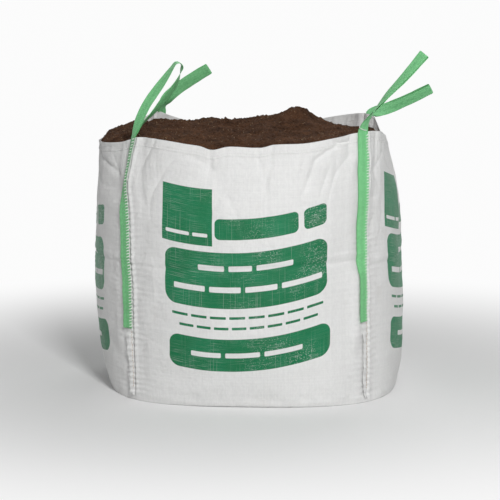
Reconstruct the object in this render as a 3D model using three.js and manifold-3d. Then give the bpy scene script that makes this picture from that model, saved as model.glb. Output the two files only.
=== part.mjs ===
// A filled bulk bag of compost: four woven panels sewn round a base panel, four webbing
// lifting loops sewn up the corners, a printed design on every side, and the compost itself.
// Millimetres, +Z up. The origin is the middle of the base panel's underside, the front
// panel faces -Y, and plan angles are degrees counter-clockwise from +X.
import * as THREE from "three";
import Module from "manifold-3d";

const solids = await Module();
solids.setup();

// Cloth
const CLOTH = 2; // woven panel with its creases
const SEAT = 0.3; // air between pieces that lie on each other
const HEM_HEIGHT = 32; // folded band round the mouth
const HEM_FOLD = 2; // what the fold adds outside the panel
const LAP = 28; // width of the lapped corner seam
const LAP_RAMP = 10; // where the outer panel comes back down beside the lap
const LIP = 66; // side panel turned under the bag
const BASE_OVERLAP = 26; // base panel lying on that lip
const BASE_STEP = 12; // where the base panel climbs onto the lip

// Outline of the filled bag: radius at the middle of each side, and at the corners
const FOOT = { right: 535, back: 532, left: 535, front: 535, corner: 603 };
const BELLY = { right: 582, back: 588, left: 597, front: 590, corner: 603 };
const MOUTH = { right: 492, back: 548, left: 586, front: 540, corner: 592 };
const BELLY_AT = 0.45; // share of the height where it is widest
const BELLY_LEAN = 16; // how far the belly sits towards -X
const BELLY_TWIST = 1; // degrees that the seams wander anticlockwise at half height

// Rim round the mouth: how far it hangs below its highest corner, as [plan angle, drop]
const RIM_HEIGHT = 988;
const RIM_DROP = [
  [10, 51], [29, 56], [40, 14], [46, 5], [57, 20], [70, 33], [90, 43], [110, 33], [135, 1],
  [155, 60], [180, 66], [195, 63], [205, 58], [215, 48], [225, 24], [237, 28], [247, 40],
  [252, 52], [256.5, 66], [263, 52], [275, 56], [280, 43], [291, 33], [303, 16], [315, 0],
  [325, 7], [335, 18], [350, 40],
];

// Compost
const SOIL_BELOW_RIM = 9;
const SOIL_BELOW_CORNER = 20; // further down where the corners are pulled up
const SOIL_SETTLED = 1.5; // compost drawn back from the hem
const SOIL_LEVEL = RIM_HEIGHT - 26;
const SOIL_MOUNDS = [ // x, y, height, spread
  { x: 170, y: 60, height: 58, spread: 95 },
  { x: -110, y: 40, height: 18, spread: 190 },
  { x: -300, y: -60, height: -16, spread: 110 },
  { x: -475, y: 20, height: 44, spread: 105 },
  { x: 480, y: 100, height: -50, spread: 90 },
];
const SOIL_ROUNDING = 8; // how tightly the heap rounds up from the cloth
const SOIL_CLODS = [ // waves of loose clods: height, length, direction and phase in degrees
  { height: 3.4, length: 152, towards: 12, phase: 40 },
  { height: 3.2, length: 134, towards: 76, phase: 160 },
  { height: 3.0, length: 168, towards: 139, phase: 290 },
  { height: 2.6, length: 118, towards: 103, phase: 80 },
  { height: 2.4, length: 184, towards: 44, phase: 200 },
];
const SOIL_TOE = 8; // compost does not fill the last of the bottom fold

// Webbing loops
const WEBBING_WIDTH = 44;
const WEBBING_THICKNESS = 1.6;
const INNER_LEG_END = 480; // height of each leg's sewn end
const OUTER_LEG_END = 268;
const LEG_SEAT = 0.45; // under the inner leg, whose facets are larger than the panel's
const LEG_GAP = 0.6; // between the two legs of one loop
const LOOP_STEPS = 18;
const BEND_STEPS = 5;
// Each free loop from its corner of the rim. at: middle line between its two strands;
// turn: how far the webbing is turned from edge-on to face-on, seen from the front;
// sewnHigher: how far its outer leg stops above the others;
// apart: clear space between the strands; twist: extra turn of the inner and outer strand.
const LOOPS = {
  front_left: {
    corner: 225,
    at: [[22, -10, 32], [46, -14, 70], [81, -16, 114], [117, -16, 160], [155, -16, 212], [179, -14, 258]],
    turn: [4, 6, 6, 6, 4, 0],
    apart: [8, 20, 34, 42, 44, 34],
    twist: [[-4, 12], [-14, 28], [-26, 40], [-34, 42], [-24, 26], [0, 0]],
  },
  front_right: {
    corner: 315,
    sewnHigher: 32,
    at: [[20, 2, 24], [36, 4, 54], [58, 4, 92], [92, 4, 138], [134, 6, 188], [184, 8, 240], [218, 10, 268]],
    turn: [60, 24, 30, 52, 76, 88, 90],
    apart: [5, 10, 16, 20, 24, 24, 14],
    twist: [],
  },
  back_right: {
    corner: 45,
    at: [[14, 8, 8], [46, 12, 16], [92, 12, 32], [140, 8, 54], [186, 6, 76], [238, 4, 102]],
    turn: [-150, -118, -98, -92, -90, -90],
    apart: [6, 14, 22, 24, 20, 12],
    twist: [],
  },
  back_left: {
    corner: 135,
    at: [[4, -10, 26], [20, -16, 54], [52, -20, 84], [94, -22, 116], [140, -22, 146], [190, -22, 176]],
    turn: [-76, -84, -88, -90, -90, -90],
    apart: [6, 14, 22, 24, 20, 12],
    twist: [],
  },
};

// Print: plain fields of ink, across the side from the bag's middle and up from the floor
const INK = 0.5;
const INK_SEAT = 0.5;
// The cloth hangs between its corners, so the print's level lines sag and climb to the right.
const INK_SLOPE = 0.066;
const INK_SAG = 0.00044;
const INK_CORNER_STEPS = 3;
const INK_EDGE_STEPS = 5;
const PRINT = {
  square: { from: -306, to: -123, low: 591, high: 793, round: 0 },
  long_bar: { from: -114, to: 184, low: 616, high: 690, round: 18 },
  short_bar: { from: 204, to: 286, low: 616, high: 690, round: 18 },
  upper_field: { from: -295, to: 286, low: 370, high: 570, round: 40 },
  lower_field: { from: -279, to: 297, low: 140, high: 259, round: 36 },
};

// Mesh grid
const SIDE_STEPS = 8; // columns across each side, between its seams
const WALL_SHARES = [0.04, 0.1, 0.19, 0.31, 0.45, 0.59, 0.72, 0.83, 0.92];
const SOIL_RINGS = [0.95, 0.88, 0.8, 0.72, 0.64, 0.56, 0.48, 0.4, 0.32, 0.23, 0.12];

const WHITE_CLOTH = { color: 0xe4e4e2, roughness: 0.62, metalness: 0 };
const GREEN_WEBBING = { color: 0x5cb86a, roughness: 0.6, metalness: 0 };
const GREEN_INK = { color: 0x1f7a4c, roughness: 0.5, metalness: 0 };
const DARK_COMPOST = { color: 0x3f2a1f, roughness: 0.95, metalness: 0 };

const LIFT = CLOTH + SEAT; // the outer panel of a lap rides this far out
const bag = new THREE.Group();
const rad = THREE.MathUtils.degToRad;

// Smooth curve through [at, value] knots that closes on itself every 360 degrees.
function roundCurve(knots) {
  const ring = [...knots.map(([a, v]) => [a - 360, v]), ...knots, ...knots.map(([a, v]) => [a + 360, v])];
  return (deg) => smoothThrough(ring, ((deg % 360) + 360) % 360);
}

// Cubic Hermite through [at, value] knots, its slopes from the neighbours on each side.
function smoothThrough(knots, x) {
  const last = knots.length - 1;
  const slope = (i) => {
    const [a, b] = [knots[Math.max(i - 1, 0)], knots[Math.min(i + 1, last)]];
    return (b[1] - a[1]) / (b[0] - a[0]);
  };
  let i = knots.findIndex(([a]) => a > x) - 1;
  if (i < 0) i = x < knots[0][0] ? 0 : last - 1;
  const [[x0, y0], [x1, y1]] = [knots[i], knots[i + 1]];
  const h = x1 - x0;
  const t = THREE.MathUtils.clamp((x - x0) / h, 0, 1);
  const bend = t * t * (3 - 2 * t);
  return (
    y0 * (1 - bend) + y1 * bend + h * (slope(i) * t * (1 - t) * (1 - t) - slope(i + 1) * t * t * (1 - t))
  );
}

const rimDrop = roundCurve(RIM_DROP);
const rimHeight = (deg) => RIM_HEIGHT - rimDrop(deg);

// Radius of one named side or of the corners at a share of the height: a quarter ellipse
// from the floor up to the belly, then a parabola in to the mouth.
function swell(part, share) {
  if (share < BELLY_AT) {
    const up = 1 - share / BELLY_AT;
    return FOOT[part] + (BELLY[part] - FOOT[part]) * Math.sqrt(1 - up * up);
  }
  const over = (share - BELLY_AT) / (1 - BELLY_AT);
  return BELLY[part] + (MOUTH[part] - BELLY[part]) * over * over;
}

// Plan radius: a superellipse whose exponent takes it through the corner radius.
function planRadius(deg, share) {
  const [c, s] = [Math.cos(rad(deg)), Math.sin(rad(deg))];
  const across = swell(c >= 0 ? "right" : "left", share);
  const deep = swell(s >= 0 ? "back" : "front", share);
  const squareness = Math.log(2) / Math.log((Math.SQRT2 * Math.sqrt(across * deep)) / swell("corner", share));
  const power = THREE.MathUtils.clamp(squareness, 1.8, 4);
  return (Math.abs(c / across) ** power + Math.abs(s / deep) ** power) ** (-1 / power);
}

// A point of the bag's skin, moved out from it by the offset.
function skin(deg, share, offset = 0) {
  const middle = Math.sin(Math.PI * share);
  const turned = deg + BELLY_TWIST * middle;
  const r = planRadius(turned, share) + offset;
  const x = r * Math.cos(rad(turned)) - BELLY_LEAN * middle;
  return new THREE.Vector3(x, r * Math.sin(rad(turned)), share * rimHeight(deg));
}

const hemShare = (deg) => 1 - HEM_HEIGHT / rimHeight(deg);
// Shares of the height of the grid rows up one side, from the floor to the hem's lower edge.
const wallShares = (deg) => [0, ...WALL_SHARES.map((s) => s * hemShare(deg)), hemShare(deg)];

// Plan angles of the grid columns from one corner up to the next, the first corner included.
const turnFor = (length) => THREE.MathUtils.radToDeg(length / BELLY.corner);
const lapTurn = turnFor(LAP);
const rampTurn = turnFor(LAP_RAMP);
const webbingTurn = turnFor(WEBBING_WIDTH);
function sideColumns(corner) {
  const clear = 90 - rampTurn - webbingTurn;
  const between = Array.from({ length: SIDE_STEPS + 1 }, (_, i) => corner + rampTurn + (clear * i) / SIDE_STEPS);
  return [corner, ...between, corner + 90 - lapTurn];
}
const ringColumns = [45, 135, 225, 315].flatMap(sideColumns);
const inLap = (deg) => {
  const before = (((45 - deg) % 90) + 90) % 90;
  return before <= lapTurn + 1e-6 || before > 90 - 1e-6;
};

// Closed body between two grids of points, rows upwards and columns to the viewer's right.
// Its first rows can split their quads along the other diagonal.
function slab(outer, inner, turnedRows = 0) {
  const [rows, cols] = [outer.length, outer[0].length];
  const at = (layer, i, j) => (layer * rows + i) * cols + j;
  const faces = [];
  const quad = (a, b, c, d) => faces.push(a, b, c, a, c, d);
  for (let i = 0; i < rows - 1; i++) {
    for (let j = 0; j < cols - 1; j++) {
      const [a, b, c, d] = [[i, j], [i, j + 1], [i + 1, j + 1], [i + 1, j]];
      const round = i < turnedRows ? [b, c, d, a] : [a, b, c, d];
      quad(...round.map(([y, x]) => at(0, y, x)));
      quad(...[0, 3, 2, 1].map((k) => at(1, ...round[k])));
    }
    quad(at(1, i, 0), at(0, i, 0), at(0, i + 1, 0), at(1, i + 1, 0));
    quad(at(0, i, cols - 1), at(1, i, cols - 1), at(1, i + 1, cols - 1), at(0, i + 1, cols - 1));
  }
  for (let j = 0; j < cols - 1; j++) {
    quad(at(1, 0, j), at(1, 0, j + 1), at(0, 0, j + 1), at(0, 0, j));
    quad(at(0, rows - 1, j), at(0, rows - 1, j + 1), at(1, rows - 1, j + 1), at(1, rows - 1, j));
  }
  return geometry([...outer.flat(), ...inner.flat()], faces);
}

// Closed body from rings of points that run from a lowest middle point to a highest one.
function ringBody(foot, rings, crown) {
  const n = rings[0].length;
  const at = (i, j) => 1 + i * n + (j % n);
  const faces = [];
  for (let j = 0; j < n; j++) {
    faces.push(0, at(0, j + 1), at(0, j));
    for (let i = 0; i < rings.length - 1; i++) {
      faces.push(at(i, j), at(i, j + 1), at(i + 1, j + 1), at(i, j), at(i + 1, j + 1), at(i + 1, j));
    }
    faces.push(at(rings.length - 1, j), at(rings.length - 1, j + 1), 1 + rings.length * n);
  }
  return geometry([foot, ...rings.flat(), crown], faces);
}

function geometry(points, faces) {
  const made = new THREE.BufferGeometry().setFromPoints(points);
  made.setIndex(faces);
  made.computeVertexNormals();
  return made;
}

function add(name, shape, finish) {
  const mesh = new THREE.Mesh(shape, new THREE.MeshStandardMaterial(finish));
  mesh.name = name;
  bag.add(mesh);
}

// One side panel. It laps over the next panel clockwise and under the one before it.
// Its rows run from the lip under the bag, round the foot, up the side, over the hem's
// lower edge and up to the rim.
function sidePanel(middle) {
  const [start, end] = [middle - 45, middle + 45];
  const column = (deg) => {
    const out = deg < start + 1e-6 ? LIFT : 0;
    const up = deg > end - lapTurn - 1e-6 ? LIFT : 0;
    const lip = (height) => skin(deg, 0, out - LIP).setZ(height);
    const outer = [lip(up), skin(deg, 0, out).setZ(up)];
    const inner = [lip(up + CLOTH), skin(deg, 0, out - CLOTH).setZ(up + CLOTH)];
    for (const share of wallShares(deg).slice(1, -1)) {
      outer.push(skin(deg, share, out));
      inner.push(skin(deg, share, out - CLOTH));
    }
    // Over its neighbour's hem the lap starts its own hem a little lower.
    const [outside, inside, folded] = out ? [-2, -1, -0.5] : [0, 0, 1];
    const step = (n) => hemShare(deg) + n * HEM_NUDGE;
    const over = out ? out + HEM_FOLD : 0;
    outer.push(skin(deg, step(outside), out), skin(deg, step(outside), over + HEM_FOLD));
    inner.push(skin(deg, step(inside), out - CLOTH), skin(deg, step(folded), over - CLOTH));
    outer.push(skin(deg, 1, over + HEM_FOLD));
    inner.push(skin(deg, 1, over - CLOTH));
    return { outer, inner };
  };
  const made = [start - lapTurn, ...sideColumns(start), end].map(column);
  const rows = made[0].outer.map((_, i) => i);
  return slab(
    rows.map((i) => made.map((c) => c.outer[i])),
    rows.map((i) => made.map((c) => c.inner[i])),
  );
}
const HEM_NUDGE = 0.004; // share of the height that keeps two rows apart at the hem's edge

// The base panel: flat on the floor, its edge climbing onto the lips of the side panels.
function basePanel() {
  const ring = (inset, height) =>
    ringColumns.map((deg) => skin(deg, 0, -inset).setZ(typeof height === "function" ? height(deg) : height));
  const onLip = (deg) => (inLap(deg) ? 2 * LIFT : LIFT);
  const edge = LIP - BASE_OVERLAP;
  const climb = LIP + SEAT;
  const flat = climb + BASE_STEP;
  const topOf = (deg) => onLip(deg) + CLOTH;
  return ringBody(
    new THREE.Vector3(0, 0, 0),
    [ring(flat * 3, 0), ring(flat, 0), ring(climb, onLip), ring(edge, onLip),
      ring(edge, topOf), ring(climb, topOf), ring(flat, CLOTH), ring(flat * 3, CLOTH)],
    new THREE.Vector3(0, 0, CLOTH),
  );
}

// Height of the compost where it meets the cloth, a little under the rim.
function soilEdge(deg) {
  const pulledUp = Math.sin(rad(2 * deg)) ** 4;
  return rimHeight(deg) - SOIL_BELOW_RIM - SOIL_BELOW_CORNER * pulledUp;
}

// Height that the clods add at a place: the sum of their waves.
function clodHeight(x, y) {
  return SOIL_CLODS.reduce((sum, c) => {
    const along = x * Math.cos(rad(c.towards)) + y * Math.sin(rad(c.towards));
    return sum + c.height * Math.sin((2 * Math.PI * along) / c.length + rad(c.phase));
  }, 0);
}

// Compost heaped in the mouth: from the edge height it rounds up to a level with mounds
// and clods.
function soilTop(deg, ring) {
  const share = soilEdge(deg) / rimHeight(deg);
  const edge = skin(deg, share, -CLOTH - SEAT - SOIL_SETTLED);
  const [x, y] = [edge.x * ring, edge.y * ring];
  const heap = SOIL_MOUNDS.reduce(
    (sum, m) => sum + m.height * Math.exp(-((x - m.x) ** 2 + (y - m.y) ** 2) / (2 * m.spread ** 2)),
    SOIL_LEVEL + clodHeight(x, y),
  );
  return new THREE.Vector3(x, y, edge.z + (heap - edge.z) * (1 - ring ** SOIL_ROUNDING));
}

function compost() {
  const inside = -CLOTH - SEAT;
  const overBase = 2 * LIFT + CLOTH + SEAT;
  const flat = LIP + SEAT + BASE_STEP + inside;
  const floor = (inset, height) => ringColumns.map((deg) => skin(deg, 0, inside - inset).setZ(height));
  const side = [...WALL_SHARES, 1].map((_, i) =>
    ringColumns.map((deg) => skin(deg, wallShares(deg)[i + 1], inside)),
  );
  const edge = ringColumns.map((deg) => soilTop(deg, 1));
  const top = SOIL_RINGS.map((ring) => ringColumns.map((deg) => soilTop(deg, ring)));
  return ringBody(
    new THREE.Vector3(0, 0, CLOTH + SEAT),
    [floor(flat * 3, CLOTH + SEAT), floor(flat, CLOTH + SEAT), floor(flat - BASE_STEP, overBase),
      floor(SOIL_TOE, overBase), ...side, edge, ...top],
    soilTop(0, 0),
  );
}

// A point on the straight stretches of one grid column, at a share of the height.
function alongColumn(deg, share, offset) {
  const shares = [...wallShares(deg), 1];
  const i = shares.slice(0, -1).findLastIndex((s) => s <= share);
  const t = (share - shares[i]) / (shares[i + 1] - shares[i]);
  return skin(deg, shares[i], offset).lerp(skin(deg, shares[i + 1], offset), t);
}

// A leg of webbing from its sewn end up to the rim, as rows of points across it on both of
// its faces. It lies beside the corner's seam, over the lap and over the thicker hem.
function leg(loop, end, layer) {
  const columns = [0, lapTurn, webbingTurn].map((turn) => loop.corner - turn);
  const onLap = [1, 1, 0];
  const wall = WALL_SHARES.map((_, i) => i + 1).filter((i) => wallShares(loop.corner)[i] * rimHeight(loop.corner) > end + 5);
  const rows = [
    { share: (deg) => end / rimHeight(deg), hem: 0 },
    ...wall.map((i) => ({ share: (deg) => wallShares(deg)[i], hem: 0 })),
    { share: (deg) => hemShare(deg) - 6 * HEM_NUDGE, hem: 0 },
    { share: (deg) => hemShare(deg) - 2.4 * HEM_NUDGE, hem: 1 },
    { share: () => 1, hem: 1 },
  ];
  const face = (offset) =>
    rows.map((row) =>
      columns.map((deg, i) => {
        const under = onLap[i] * LIFT + row.hem * (1 + onLap[i]) * HEM_FOLD;
        return alongColumn(deg, row.share(deg), under + offset);
      }),
    );
  const seat = LEG_SEAT + layer * (WEBBING_THICKNESS + LEG_GAP);
  return { near: face(seat), far: face(seat + WEBBING_THICKNESS) };
}

// The free loop above the rim: two strands on each side of a middle line, joined by a bend.
function freeLoop(loop, legs) {
  const [seamEdge, , freeEdge] = legs[0].far.at(-1);
  const width0 = seamEdge.clone().sub(freeEdge).normalize();
  const start = seamEdge.clone().add(legs[1].near.at(-1)[2]).multiplyScalar(0.5);
  const line = new THREE.CatmullRomCurve3([
    start, ...loop.at.map(([x, y, z]) => new THREE.Vector3(x, y, z).add(start)),
  ]);
  const knots = loop.at.length;
  const along = (values, first) => (u) =>
    smoothThrough([first, ...values].map((v, i) => [i / knots, v]), u);
  const turn = along(loop.turn, nearTurn(turnOf(width0), loop.turn[0]));
  const apart = along(loop.apart.map((v) => v + WEBBING_THICKNESS), LEG_GAP + WEBBING_THICKNESS);
  const twists = [0, 1].map((side) => along(loop.at.map((_, i) => (loop.twist[i] ?? [0, 0])[side]), 0));
  const frame = (u, extra) => {
    const forward = line.getTangent(u);
    const depth = new THREE.Vector3(0, -1, 0).addScaledVector(forward, forward.y).normalize();
    const level = forward.clone().cross(depth);
    const angle = rad(turn(u) + extra);
    const width = depth.clone().multiplyScalar(Math.cos(angle)).addScaledVector(level, Math.sin(angle));
    return { forward, width, normal: width.clone().cross(forward) };
  };
  const strand = (side) =>
    Array.from({ length: LOOP_STEPS }, (_, i) => {
      const u = (i + 1) / LOOP_STEPS;
      const { normal } = frame(u, 0);
      const turned = frame(u, twists[side](u));
      const middle = line.getPoint(u).addScaledVector(normal, ((side ? 1 : -1) * apart(u)) / 2);
      return { middle, width: turned.width, normal: turned.normal };
    });
  const { forward, width, normal } = frame(1, 0);
  const bend = Array.from({ length: BEND_STEPS }, (_, i) => {
    const angle = (Math.PI * (i + 1)) / (BEND_STEPS + 1);
    const out = normal.clone().multiplyScalar(-Math.cos(angle)).addScaledVector(forward, Math.sin(angle));
    return { middle: line.getPoint(1).addScaledVector(out, apart(1) / 2), width, normal: out };
  });
  const up = strand(0).map((s) => ({ ...s, normal: s.normal.clone().negate() }));
  return [...up, ...bend, ...strand(1).reverse()];
}

// Angle of a width direction from edge-on, about an upright strand.
function turnOf(width) {
  return THREE.MathUtils.radToDeg(Math.atan2(width.x, -width.y));
}

// The same angle, a whole turn up or down if that is nearer the wanted one.
function nearTurn(angle, wanted) {
  return angle + 360 * Math.round((wanted - angle) / 360);
}

// One lifting loop: up the inner leg, round the free loop and down the outer leg.
function liftingLoop(loop) {
  const legs = [leg(loop, INNER_LEG_END, 0), leg(loop, OUTER_LEG_END + (loop.sewnHigher ?? 0), 1)];
  const across = [0, LAP, WEBBING_WIDTH].map((a) => WEBBING_WIDTH / 2 - a);
  const free = freeLoop(loop, legs);
  const face = (side) =>
    free.map((s) =>
      across.map((a) =>
        s.middle.clone().addScaledVector(s.width, a).addScaledVector(s.normal, (side * WEBBING_THICKNESS) / 2),
      ),
    );
  return slab(
    [...legs[0].near, ...face(1), ...legs[1].far.reverse()],
    [...legs[0].far, ...face(-1), ...legs[1].near.reverse()],
    legs[0].near.length,
  );
}

// A film of ink over the whole of one side, on the panel's own facets.
function inkFilm(middle) {
  const columns = sideColumns(middle - 45).slice(1, -1);
  const grid = (offset) =>
    wallShares(middle).map((_, i) => columns.map((deg) => skin(deg, wallShares(deg)[i], offset)));
  return toSolid(slab(grid(INK_SEAT + INK), grid(INK_SEAT)));
}

// The part of a side's film inside one field: a straight stamp pressed onto it. The stamp's
// outline is cut into short steps, so that its level edges can sag.
function inkField(film, middle, { from, to, low, high, round }) {
  const corners = [
    [to - round, low + round, 270], [to - round, high - round, 0],
    [from + round, high - round, 90], [from + round, low + round, 180],
  ].map(([x, z, start]) =>
    Array.from({ length: round ? INK_CORNER_STEPS + 1 : 1 }, (_, i) => {
      const angle = rad(start + (90 * i) / INK_CORNER_STEPS);
      return [x + round * Math.cos(angle), z + round * Math.sin(angle)];
    }),
  );
  const level = (a, b) =>
    Array.from({ length: INK_EDGE_STEPS - 1 }, (_, i) => [a[0] + ((b[0] - a[0]) * (i + 1)) / INK_EDGE_STEPS, a[1]]);
  const outline = [
    ...corners[0], ...corners[1], ...level(corners[1].at(-1), corners[2][0]),
    ...corners[2], ...corners[3], ...level(corners[3].at(-1), corners[0][0]),
  ].map(([x, z]) => [x, z + INK_SLOPE * x + INK_SAG * x * x]);
  const stamp = solids.CrossSection.ofPolygons([outline]).extrude(2 * BELLY.corner);
  return toGeometry(film.intersect(stamp.rotate([90, 0, 0]).rotate([0, 0, middle - 270])));
}

function toSolid(shape) {
  return new solids.Manifold(new solids.Mesh({
    numProp: 3,
    vertProperties: Float32Array.from(shape.attributes.position.array),
    triVerts: Uint32Array.from(shape.index.array),
  }));
}

function toGeometry(solid) {
  const mesh = solid.getMesh();
  const points = Array.from({ length: mesh.numVert }, (_, i) =>
    new THREE.Vector3().fromArray(mesh.vertProperties, i * mesh.numProp),
  );
  return geometry(points, Array.from(mesh.triVerts));
}

add("base_panel", basePanel(), WHITE_CLOTH);
const SIDES = { right: 0, back: 90, left: 180, front: 270 };
for (const [side, middle] of Object.entries(SIDES)) {
  add(`${side}_panel`, sidePanel(middle), WHITE_CLOTH);
  const film = inkFilm(middle);
  for (const [field, shape] of Object.entries(PRINT)) {
    add(`${side}_print_${field}`, inkField(film, middle, shape), GREEN_INK);
  }
}
for (const [corner, loop] of Object.entries(LOOPS)) {
  add(`${corner}_loop`, liftingLoop(loop), GREEN_WEBBING);
}
add("compost_fill", compost(), DARK_COMPOST);

export default bag;
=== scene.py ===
# %% [markdown]
# # A filled bulk bag of compost
# The real bag is sewn from four panels of woven plastic tape, with a base panel under them and
# four loops of webbing that lift it. Compost fills it and rounds its sides. Every piece here
# is soft, so each one is a fine surface worked out with numpy over the plain solids of the
# CAD model. Lengths are in metres and +Z is up.

# %% Load the CAD model
import math

import bpy
import numpy as np
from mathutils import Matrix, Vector


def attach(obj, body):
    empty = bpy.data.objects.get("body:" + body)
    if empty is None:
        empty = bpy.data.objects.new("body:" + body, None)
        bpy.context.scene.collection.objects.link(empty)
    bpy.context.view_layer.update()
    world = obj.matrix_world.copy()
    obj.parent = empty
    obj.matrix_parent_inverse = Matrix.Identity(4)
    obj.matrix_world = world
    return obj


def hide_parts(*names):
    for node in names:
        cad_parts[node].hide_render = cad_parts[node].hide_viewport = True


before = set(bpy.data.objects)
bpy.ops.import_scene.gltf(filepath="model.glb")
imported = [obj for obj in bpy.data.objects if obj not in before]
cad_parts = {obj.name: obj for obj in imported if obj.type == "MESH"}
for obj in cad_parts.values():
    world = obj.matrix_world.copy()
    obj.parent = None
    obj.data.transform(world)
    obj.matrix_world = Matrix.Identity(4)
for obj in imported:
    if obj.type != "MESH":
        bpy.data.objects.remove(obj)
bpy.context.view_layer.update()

# %% [markdown]
# ## The camera
# A long lens far from the bag keeps its sides nearly upright. The place follows from the
# angle around the bag, the angle above the floor and the distance to a point inside it.

# %% Camera at the photograph's angle
AIM = Vector((-0.021, 0.0, 0.495))
AROUND = math.radians(3.3)
ABOVE = math.radians(8.3)
DISTANCE = 7.42
LENS, SENSOR = 138.96, 36.0

towards_camera = Vector((
    math.sin(AROUND) * math.cos(ABOVE), -math.cos(AROUND) * math.cos(ABOVE), math.sin(ABOVE)))
camera = bpy.data.objects.new("camera", bpy.data.cameras.new("camera"))
camera.data.lens, camera.data.sensor_width = LENS, SENSOR
camera.location = AIM + DISTANCE * towards_camera
camera.rotation_euler = towards_camera.to_track_quat("Z", "Y").to_euler()
bpy.context.scene.collection.objects.link(camera)
bpy.context.scene.camera = camera
print("camera at", [round(v, 2) for v in camera.location])

# %% [markdown]
# ## The bag's measures
# A filled bag is nearly round at its belly and squarer at its mouth. Its radii are those of
# the CAD model: at the middle of each side and at the corners, for the foot, the belly and
# the mouth. RIM_DROP says how far the rim hangs below its highest corner at each plan angle.
# It follows the photograph up to 10 mm closer than the CAD model does, and the shifts move
# the two front seams round the bag by a few millimetres more.

# %% Measures
FOOT = {"right": 0.535, "back": 0.532, "left": 0.535, "front": 0.535, "corner": 0.603}
BELLY = {"right": 0.582, "back": 0.588, "left": 0.597, "front": 0.590, "corner": 0.603}
MOUTH = {"right": 0.492, "back": 0.548, "left": 0.586, "front": 0.540, "corner": 0.592}
BELLY_AT = 0.45
BELLY_LEAN = 0.016
BELLY_TWIST = 1.0
ROUNDNESS = (1.8, 4)
SEAM_BOW = (0.020, 0.84, 0.09)
RIM_SHIFT, RIM_SHIFT_FROM = 0.013, (0.93, 1.0)
LOW_SHIFT, LOW_SHIFT_FROM = 0.015, (0.70, 0.36)
RIGHT_SHIFT = 0.009
SHIFT_SPREAD = 26
RIM_HEIGHT = 0.988
RIM_DROP = [
    (10, 0.051), (29, 0.056), (39, 0.008), (46, -0.003), (57, 0.010), (70, 0.033), (90, 0.045),
    (110, 0.042), (123, 0.030), (130, 0.008), (135, -0.008), (141, 0.008), (155, 0.060),
    (180, 0.066), (195, 0.063), (205, 0.058), (215, 0.048), (225, 0.024), (237, 0.028),
    (247, 0.040), (252, 0.046), (256.5, 0.058), (263, 0.046), (275, 0.049), (280, 0.038),
    (291, 0.033), (303, 0.016), (315, 0.0), (325, 0.007), (335, 0.018), (350, 0.040)]
HEM = 0.032
LIP = 0.066
CLOTH = 0.0015
CORNERS = {"back_right": 45, "back_left": 135, "front_left": 225, "front_right": 315}
FRONT = ("front_left", "front_right")
SIDES = {"right": 0, "back": 90, "left": 180, "front": 270}
print("belly is", round(BELLY["left"] + BELLY["right"], 3), "m across")

# %% [markdown]
# ## Curves and steps
# Three small tools carry every shape: a smooth curve through given points, a step that
# rises gently from 0 to 1, and a bell. All of them work on whole arrays at once.


# %% Curve, step and bell
def smooth_through(knots, x):
    """Cubic Hermite curve through (at, value) knots. The slope at a knot is the slope of
    the line between its two neighbours."""
    at, value = np.array(knots, float).T
    n = len(at)
    before, after = np.maximum(np.arange(n) - 1, 0), np.minimum(np.arange(n) + 1, n - 1)
    slope = (value[after] - value[before]) / (at[after] - at[before])
    i = np.clip(np.searchsorted(at, x, side="right") - 1, 0, n - 2)
    h = at[i + 1] - at[i]
    t = np.clip((x - at[i]) / h, 0, 1)
    bend = t * t * (3 - 2 * t)
    lean = slope[i] * t * (1 - t) ** 2 - slope[i + 1] * t * t * (1 - t)
    return value[i] * (1 - bend) + value[i + 1] * bend + h * lean


def step(low, high, x):
    """0 below low, 1 above high, and 3t^2 - 2t^3 between them. It falls if low > high."""
    t = np.clip((x - low) / (high - low), 0, 1)
    return t * t * (3 - 2 * t)


def bump(middle, width, x):
    """A bell, exp(-((x - middle) / width)^2)."""
    return np.exp(-(((x - middle) / width) ** 2))


def bell(shape, x):
    """A bell given as (height, middle, width)."""
    height, middle, width = shape
    return height * bump(middle, width, x)


def rim_height(deg):
    """Height of the rim: the highest corner less the drop, which closes on itself."""
    ring = [(a + turn, d) for turn in (-360, 0, 360) for a, d in RIM_DROP]
    return RIM_HEIGHT - smooth_through(ring, np.mod(deg, 360))


print("rim at the front corners:", rim_height(np.array([225.0, 315.0])).round(3))

# %% [markdown]
# ## The bag's skin
# The filled bag could be sculpted or simulated. A formula is surer: the radius at each angle
# is a superellipse that runs through the side and corner radii, so the same function gives
# the panels, the compost inside them and the webbing that lies on them.


# %% Skin of the filled bag
def swell(part, share):
    """Radius at a share of the height: a quarter ellipse from the foot out to the belly,
    then a parabola in to the mouth."""
    low = 1 - np.minimum(share / BELLY_AT, 1)
    over = np.maximum((share - BELLY_AT) / (1 - BELLY_AT), 0)
    out = FOOT[part] + (BELLY[part] - FOOT[part]) * np.sqrt(1 - low * low)
    return out + (MOUTH[part] - BELLY[part]) * over * over


def plan_radius(deg, share):
    """Superellipse |x/a|^n + |y/b|^n = 1, with n chosen to pass the corner radius."""
    c, s = np.cos(np.radians(deg)), np.sin(np.radians(deg))
    across = np.where(c >= 0, swell("right", share), swell("left", share))
    deep = np.where(s >= 0, swell("back", share), swell("front", share))
    power = np.log(2) / np.log(math.sqrt(2) * np.sqrt(across * deep) / swell("corner", share))
    power = np.clip(power, *ROUNDNESS)
    return (np.abs(c / across) ** power + np.abs(s / deep) ** power) ** (-1 / power)


def turn_for(length):
    """Degrees of plan angle for a length along the bag's round."""
    return np.degrees(length / BELLY["corner"])


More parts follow.
